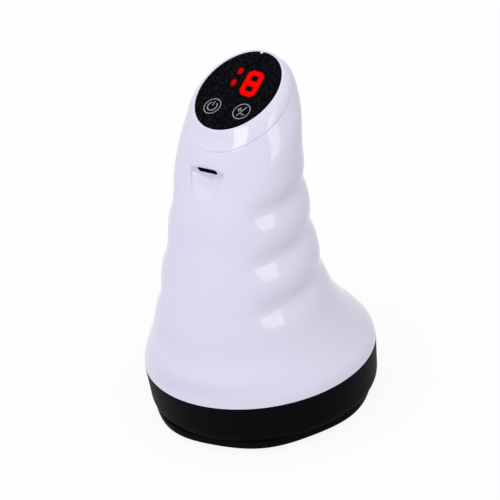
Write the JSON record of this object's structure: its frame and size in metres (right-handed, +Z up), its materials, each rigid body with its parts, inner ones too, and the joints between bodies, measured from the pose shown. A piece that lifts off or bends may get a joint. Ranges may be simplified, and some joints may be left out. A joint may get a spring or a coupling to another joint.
{
  "type": "body massager",
  "caption": "Cordless hand-held body massager: a leaning, finger-grooved grip with a slanted touch display, standing on a round head that an eccentric motor drive moves in small circles.",
  "frame": {"origin": "centre of the base circle, on the surface that the massage head stands on", "axes": "+Z up; -Y is the front with the parting line and the charging inlet; +X is the user's right when the display is read"},
  "size_m": [0.1, 0.1, 0.148],
  "materials": {
    "white_shell": "glossy moulded white with a faint lavender tint",
    "black_base": "satin moulded black",
    "touch_panel": "smoked black plate with fine light speckle, marks printed behind it",
    "display_red": "lit red segments",
    "frame_plastic": "glass-filled grey moulding",
    "sleeve_rubber": "soft black rubber",
    "circuit_board": "green solder mask",
    "touch_pad": "conductive grey foam",
    "cell_can": "blue sleeve on a metal can",
    "bright_steel": "bright plated steel",
    "dark_steel": "oiled dark steel",
    "magnet_iron": "dull dark ferrite",
    "armature_copper": "copper windings on a stacked core",
    "motor_cap_plastic": "black moulding",
    "lead_red": "red sleeved wire",
    "lead_black": "black sleeved wire",
    "ribbon_film": "amber film ribbon"
  },
  "bodies": {
    "body": {"battery_lead": "lead_red", "battery_tray": "frame_plastic", "cell_left": "cell_can", "cell_link_top": "bright_steel", "cell_right": "cell_can", "charge_board": "circuit_board", "charge_lead": "lead_red", "charge_socket": "bright_steel", "chassis": "frame_plastic", "chassis_screw_1": "bright_steel", "chassis_screw_2": "bright_steel", "chassis_screw_3": "bright_steel", "chassis_screw_4": "bright_steel", "crown_cap": "white_shell", "digit_display": "display_red", "display_board": "circuit_board", "display_ribbon": "ribbon_film", "display_screw_left": "bright_steel", "display_screw_right": "bright_steel", "left_shell": "white_shell", "magnet_left": "magnet_iron", "magnet_right": "magnet_iron", "main_board": "circuit_board", "motor_can": "bright_steel", "motor_end_cap": "motor_cap_plastic", "motor_lead_black": "lead_black", "motor_lead_red": "lead_red", "motor_screw_left": "bright_steel", "motor_screw_right": "bright_steel", "right_shell": "white_shell", "skirt_ring": "black_base", "stud_sleeve_1": "sleeve_rubber", "stud_sleeve_2": "sleeve_rubber", "stud_sleeve_3": "sleeve_rubber", "stud_sleeve_4": "sleeve_rubber", "touch_pad_level": "touch_pad", "touch_pad_power": "touch_pad", "touch_panel": "touch_panel", "tray_screw_left": "bright_steel", "tray_screw_right": "bright_steel"},
    "drive": {"motor_shaft": "bright_steel", "armature": "armature_copper", "eccentric_hub": "dark_steel", "hub_screw": "dark_steel", "counterweight": "dark_steel", "counterweight_screw": "bright_steel", "bearing_inner_ring": "bright_steel", "bearing_cage": "bright_steel", "pin_washer": "bright_steel", "pin_screw": "bright_steel"},
    "head": {"drive_plate": "frame_plastic", "bearing_outer_ring": "bright_steel", "massage_head": "black_base"}
  },
  "joints": [
    {"name": "hub_spin", "type": "hinge", "parent": "body", "child": "drive", "pos_m": [0, 0, 0.02], "axis": [0, 0, 1], "continuous": true},
    {"name": "head_orbit", "type": "hinge", "parent": "drive", "child": "head", "pos_m": [0, -0.00125, 0.011], "axis": [0, 0, 1], "continuous": true}
  ],
  "couplings": [
    {"joint": "head_orbit", "follows": "hub_spin", "ratio": -1}
  ]
}
